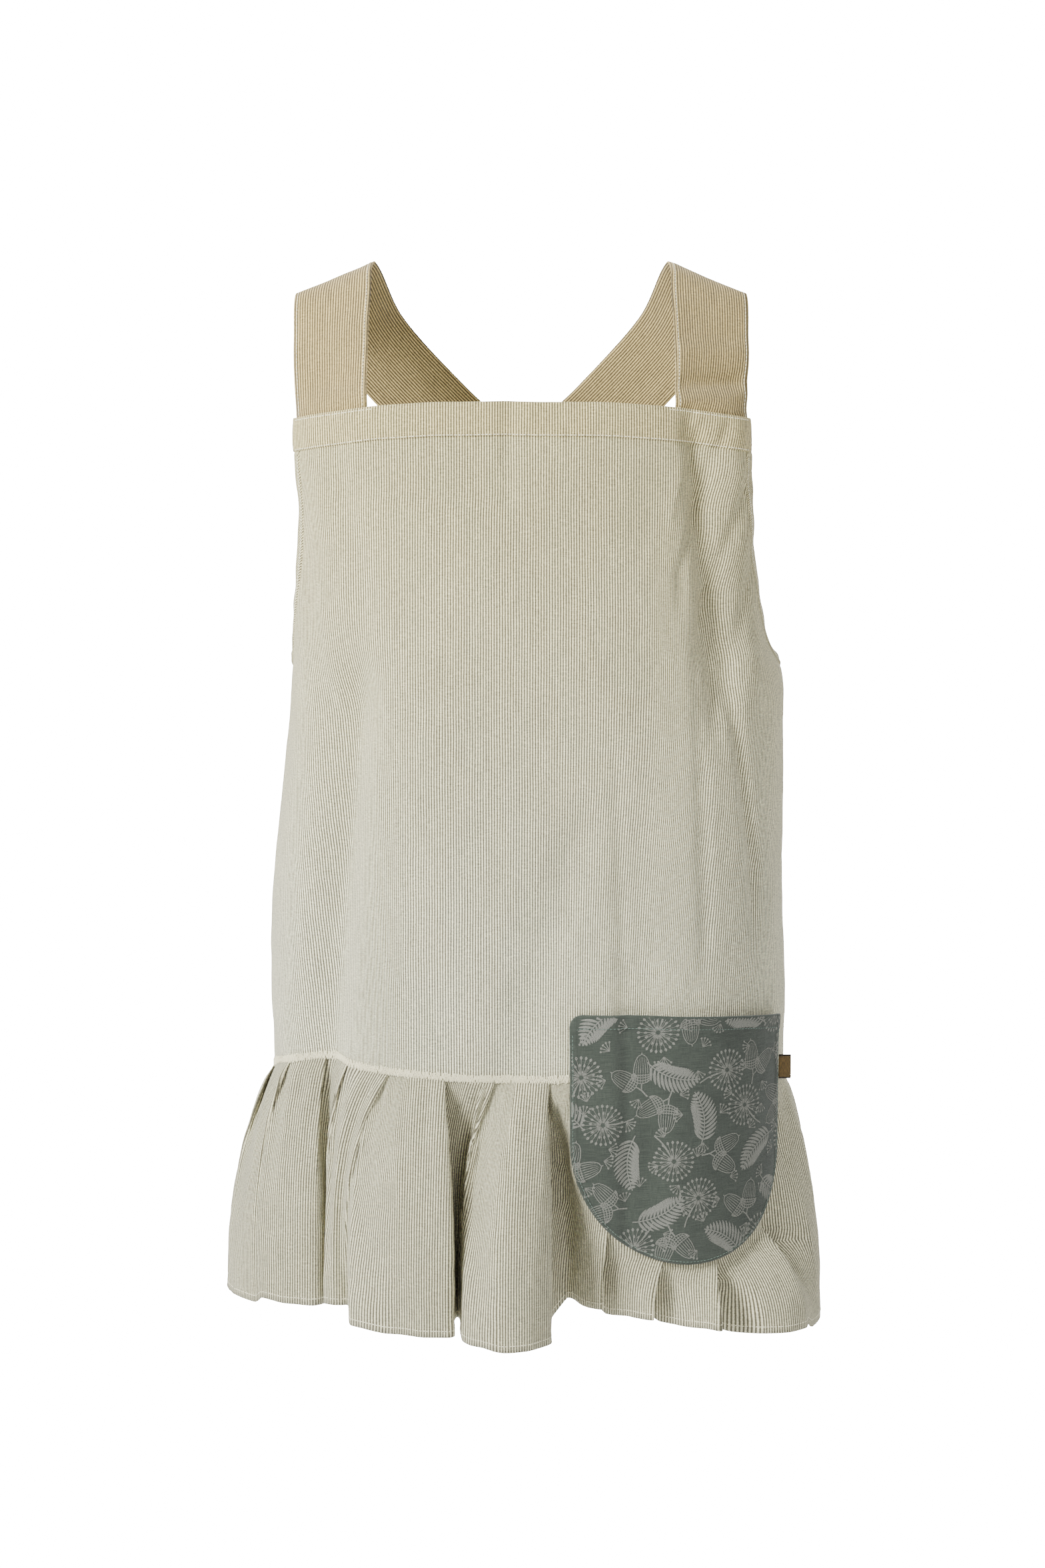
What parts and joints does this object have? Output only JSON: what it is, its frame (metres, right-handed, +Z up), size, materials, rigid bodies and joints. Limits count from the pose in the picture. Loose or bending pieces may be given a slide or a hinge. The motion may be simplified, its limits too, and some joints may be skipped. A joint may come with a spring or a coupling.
{
  "type": "cross back apron",
  "caption": "Striped cotton apron with a straight bib, broad straps that cross at the back, a loose open-backed skirt, a pleated ruffle and a round-bottomed pocket.",
  "frame": {"origin": "midway between the two places where the straps lie on the shoulders", "axes": "+Z up along the body, -Y to the front of the wearer, +X to the wearer's left"},
  "size_m": [0.5491, 0.3965, 0.9589],
  "materials": {
    "ticking": "soft cotton ticking, narrow cream and grey-beige stripes",
    "thread": "matte cream overlock thread",
    "printed_linen": "soft grey-green linen with a pale one-colour print",
    "woven_label": "satin woven ribbon, gold-brown with dark edges, bare"
  },
  "bodies": {
    "root": {"front_panel": "ticking", "back_panel_right": "ticking", "back_panel_left": "ticking", "bib_band": "ticking", "armhole_hem_right": "ticking", "armhole_hem_left": "ticking", "strap_right": "ticking", "strap_left": "ticking", "ruffle_front": "ticking", "ruffle_back_right": "ticking", "ruffle_back_left": "ticking", "ruffle_seam": "thread", "pocket": "printed_linen", "label_tab": "woven_label"}
  },
  "joints": []
}
